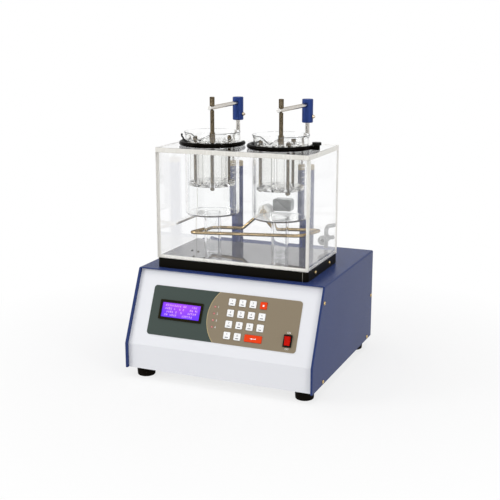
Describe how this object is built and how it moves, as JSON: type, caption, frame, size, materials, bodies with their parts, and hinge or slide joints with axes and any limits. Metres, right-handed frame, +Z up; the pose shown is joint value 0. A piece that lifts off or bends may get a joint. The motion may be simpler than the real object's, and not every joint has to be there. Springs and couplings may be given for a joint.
{
  "type": "tablet disintegration tester",
  "caption": "Bench tester with two basket racks that a motor raises and lowers in glass beakers, standing in a clear heated water bath on a slant-fronted cabinet with keypad and display.",
  "frame": {"origin": "on the table, under the middle of the cabinet", "axes": "+Z up, +X to the right seen from the control panel, +Y to the back"},
  "size_m": [0.3844, 0.375, 0.5298],
  "materials": {
    "navy_paint": "fine satin powder coat",
    "white_paint": "satin powder coat",
    "plated_sheet": "zinc plated",
    "brass_screw": "yellow plated",
    "black_rubber": "matte",
    "printed_film": "printed polyester film",
    "black_gloss": "gloss",
    "display": "backlit display",
    "board_green": "lacquered board",
    "lamp_red": "tinted lens",
    "key_white": "satin moulded",
    "key_red": "satin moulded",
    "rocker_red": "gloss",
    "black_plastic": "satin",
    "motor_metal": "cast and machined",
    "steel": "machined",
    "aluminium_bar": "machined",
    "nylon": "machined",
    "stainless": "polished",
    "bronze": "sintered",
    "blue_anodised": "blue anodised, satin",
    "black_paint": "satin",
    "clear_acrylic": "clear, polished edges",
    "heater_steel": "polished",
    "white_plastic": "moulded",
    "beaker_glass": "clear",
    "tube_glass": "clear"
  },
  "bodies": {
    "cabinet": {"cover": "navy_paint", "front_panel": "white_paint", "base_plate": "plated_sheet", "rear_panel": "white_paint", "case_screws": "brass_screw", "feet": "black_rubber", "overlay": "printed_film", "screen_bezel": "black_gloss", "screen": "display", "control_board": "board_green", "status_lamps": "lamp_red", "switch_body": "black_gloss", "power_inlet": "black_plastic", "gear_motor": "motor_metal", "guide_columns": "navy_paint", "guide_bushes": "bronze", "tank_base": "black_paint", "tank": "clear_acrylic", "tank_lid": "clear_acrylic", "heater": "heater_steel", "temperature_probe": "stainless", "drain_fitting": "white_plastic", "beakers": "beaker_glass", "beaker_supports": "clear_acrylic", "beaker_clamps": "black_plastic"},
    "lift": {"crosshead": "aluminium_bar", "lift_shafts": "stainless", "arm_hubs": "blue_anodised", "hub_screws": "stainless", "arms": "stainless"},
    "cam": {"heart_cam": "steel"},
    "roller": {"cam_roller": "nylon"},
    "rocker": {"switch_rocker": "rocker_red"},
    "knob": {"clamp_knob": "black_plastic"},
    "lever": {"clamp_lever": "black_plastic"},
    "basket_left": {"hanger_rod_left": "stainless", "rack_plates_left": "clear_acrylic", "glass_tubes_left": "tube_glass", "tie_rods_left": "stainless", "wire_net_left": "stainless"},
    "basket_right": {"hanger_rod_right": "stainless", "rack_plates_right": "clear_acrylic", "glass_tubes_right": "tube_glass", "tie_rods_right": "stainless", "wire_net_right": "stainless"},
    "key_1_1": {"key_1_1": "key_white"},
    "key_1_2": {"key_1_2": "key_white"},
    "key_1_3": {"key_1_3": "key_white"},
    "key_stop": {"key_stop": "key_red"},
    "key_2_1": {"key_2_1": "key_white"},
    "key_2_2": {"key_2_2": "key_white"},
    "key_2_3": {"key_2_3": "key_white"},
    "key_2_4": {"key_2_4": "key_white"},
    "key_3_1": {"key_3_1": "key_white"},
    "key_3_2": {"key_3_2": "key_white"},
    "key_3_3": {"key_3_3": "key_white"},
    "key_3_4": {"key_3_4": "key_white"},
    "key_4_1": {"key_4_1": "key_white"},
    "key_4_2": {"key_4_2": "key_white"},
    "key_enter": {"key_enter": "key_red"}
  },
  "joints": [
    {"name": "lift_slide", "type": "slide", "parent": "cabinet", "child": "lift", "axis": [0, 0, 1], "range_m": [-0.025, 0.03]},
    {"name": "cam_turn", "type": "hinge", "parent": "cabinet", "child": "cam", "pos_m": [-0.00375, 0.084, 0.093], "axis": [0, -1, 0], "range_deg": [-81.9, 98.3]},
    {"name": "roller_turn", "type": "hinge", "parent": "lift", "child": "roller", "pos_m": [-0.00375, 0.084, 0.138], "axis": [0, 1, 0], "continuous": true},
    {"name": "rocker_tilt", "type": "hinge", "parent": "cabinet", "child": "rocker", "pos_m": [0.1336, -0.1655, 0.10894], "axis": [1, 0, 0], "range_deg": [-20, 0]},
    {"name": "knob_turn", "type": "hinge", "parent": "cabinet", "child": "knob", "pos_m": [0.1378, -0.0316, 0.45], "axis": [0, 0, 1], "range_deg": [-90, 360]},
    {"name": "lever_turn", "type": "hinge", "parent": "cabinet", "child": "lever", "pos_m": [-0.13417, -0.03787, 0.45], "axis": [0, 0, 1], "range_deg": [-90, 90]},
    {"name": "basket_left_swivel", "type": "hinge", "parent": "lift", "child": "basket_left", "pos_m": [-0.0745, -0.0316, 0.51], "axis": [0, 0, 1], "continuous": true},
    {"name": "basket_right_swivel", "type": "hinge", "parent": "lift", "child": "basket_right", "pos_m": [0.067, -0.0316, 0.51], "axis": [0, 0, 1], "continuous": true},
    {"name": "press_1_1", "type": "slide", "parent": "cabinet", "child": "key_1_1", "axis": [0, 0.9073, -0.4204], "range_m": [0, 0.0005], "stiffness_N_per_m": 300, "springref_m": -0.0003},
    {"name": "press_1_2", "type": "slide", "parent": "cabinet", "child": "key_1_2", "axis": [0, 0.9073, -0.4204], "range_m": [0, 0.0005], "stiffness_N_per_m": 300, "springref_m": -0.0003},
    {"name": "press_1_3", "type": "slide", "parent": "cabinet", "child": "key_1_3", "axis": [0, 0.9073, -0.4204], "range_m": [0, 0.0005], "stiffness_N_per_m": 300, "springref_m": -0.0003},
    {"name": "press_stop", "type": "slide", "parent": "cabinet", "child": "key_stop", "axis": [0, 0.9073, -0.4204], "range_m": [0, 0.0005], "stiffness_N_per_m": 300, "springref_m": -0.0003},
    {"name": "press_2_1", "type": "slide", "parent": "cabinet", "child": "key_2_1", "axis": [0, 0.9073, -0.4204], "range_m": [0, 0.0005], "stiffness_N_per_m": 300, "springref_m": -0.0003},
    {"name": "press_2_2", "type": "slide", "parent": "cabinet", "child": "key_2_2", "axis": [0, 0.9073, -0.4204], "range_m": [0, 0.0005], "stiffness_N_per_m": 300, "springref_m": -0.0003},
    {"name": "press_2_3", "type": "slide", "parent": "cabinet", "child": "key_2_3", "axis": [0, 0.9073, -0.4204], "range_m": [0, 0.0005], "stiffness_N_per_m": 300, "springref_m": -0.0003},
    {"name": "press_2_4", "type": "slide", "parent": "cabinet", "child": "key_2_4", "axis": [0, 0.9073, -0.4204], "range_m": [0, 0.0005], "stiffness_N_per_m": 300, "springref_m": -0.0003},
    {"name": "press_3_1", "type": "slide", "parent": "cabinet", "child": "key_3_1", "axis": [0, 0.9073, -0.4204], "range_m": [0, 0.0005], "stiffness_N_per_m": 300, "springref_m": -0.0003},
    {"name": "press_3_2", "type": "slide", "parent": "cabinet", "child": "key_3_2", "axis": [0, 0.9073, -0.4204], "range_m": [0, 0.0005], "stiffness_N_per_m": 300, "springref_m": -0.0003},
    {"name": "press_3_3", "type": "slide", "parent": "cabinet", "child": "key_3_3", "axis": [0, 0.9073, -0.4204], "range_m": [0, 0.0005], "stiffness_N_per_m": 300, "springref_m": -0.0003},
    {"name": "press_3_4", "type": "slide", "parent": "cabinet", "child": "key_3_4", "axis": [0, 0.9073, -0.4204], "range_m": [0, 0.0005], "stiffness_N_per_m": 300, "springref_m": -0.0003},
    {"name": "press_4_1", "type": "slide", "parent": "cabinet", "child": "key_4_1", "axis": [0, 0.9073, -0.4204], "range_m": [0, 0.0005], "stiffness_N_per_m": 300, "springref_m": -0.0003},
    {"name": "press_4_2", "type": "slide", "parent": "cabinet", "child": "key_4_2", "axis": [0, 0.9073, -0.4204], "range_m": [0, 0.0005], "stiffness_N_per_m": 300, "springref_m": -0.0003},
    {"name": "press_enter", "type": "slide", "parent": "cabinet", "child": "key_enter", "axis": [0, 0.9073, -0.4204], "range_m": [0, 0.0005], "stiffness_N_per_m": 300, "springref_m": -0.0003}
  ],
  "couplings": [
    {"joint": "cam_turn", "follows": "lift_slide", "rad_per_m": 57.12}
  ]
}
